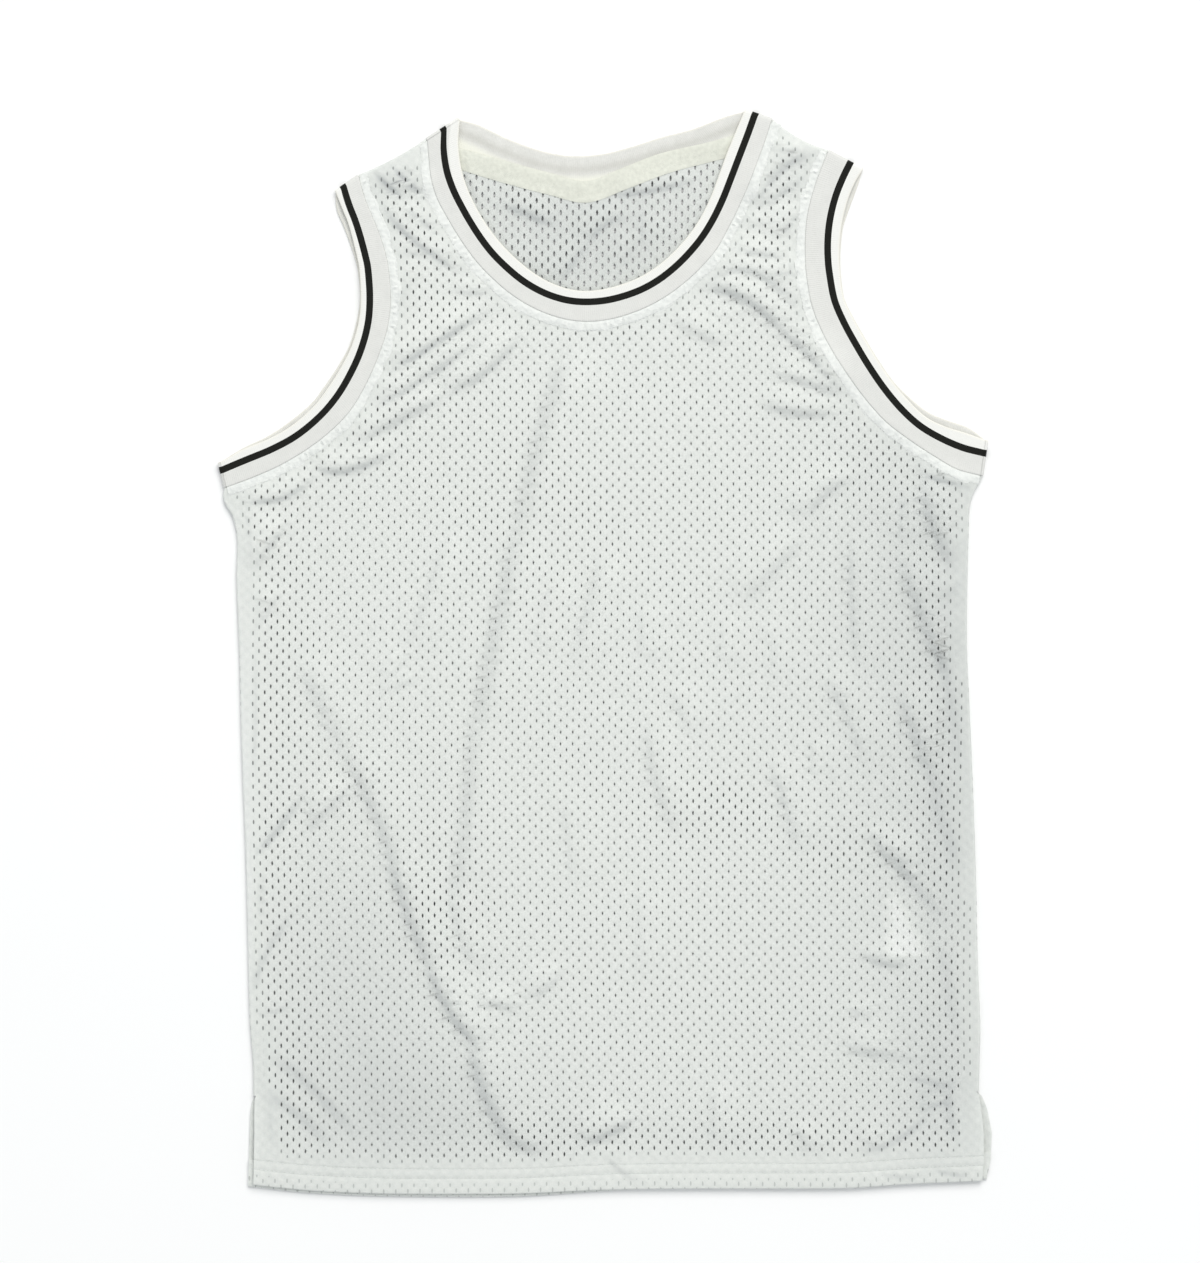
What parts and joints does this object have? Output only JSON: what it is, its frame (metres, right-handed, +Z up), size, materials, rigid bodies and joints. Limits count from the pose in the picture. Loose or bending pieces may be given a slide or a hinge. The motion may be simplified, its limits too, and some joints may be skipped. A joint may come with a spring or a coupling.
{
  "type": "sleeveless mesh jersey laid flat",
  "caption": "Sleeveless eyelet-mesh sports top laid flat, with striped rib bands at neck and armholes, a taped back neck and side vents.",
  "frame": {"origin": "on the table, under the middle of the garment's box", "axes": "+X to the viewer's right across the chest, +Y from the hem towards the neck, +Z up off the table"},
  "size_m": [0.5218, 0.7344, 0.0094],
  "materials": {
    "mesh_cloth": "pale grey-white polyester eyelet mesh, soft sheen",
    "rib_knit": "off-white rib knit with one black stripe, matt",
    "tape_cloth": "cream cotton tape, matt",
    "label_satin": "white satin, plain"
  },
  "bodies": {
    "root": {"front_panel": "mesh_cloth", "back_panel": "mesh_cloth", "neckband": "rib_knit", "armband_left": "rib_knit", "armband_right": "rib_knit", "back_neck_tape": "tape_cloth", "care_label": "label_satin"}
  },
  "joints": []
}
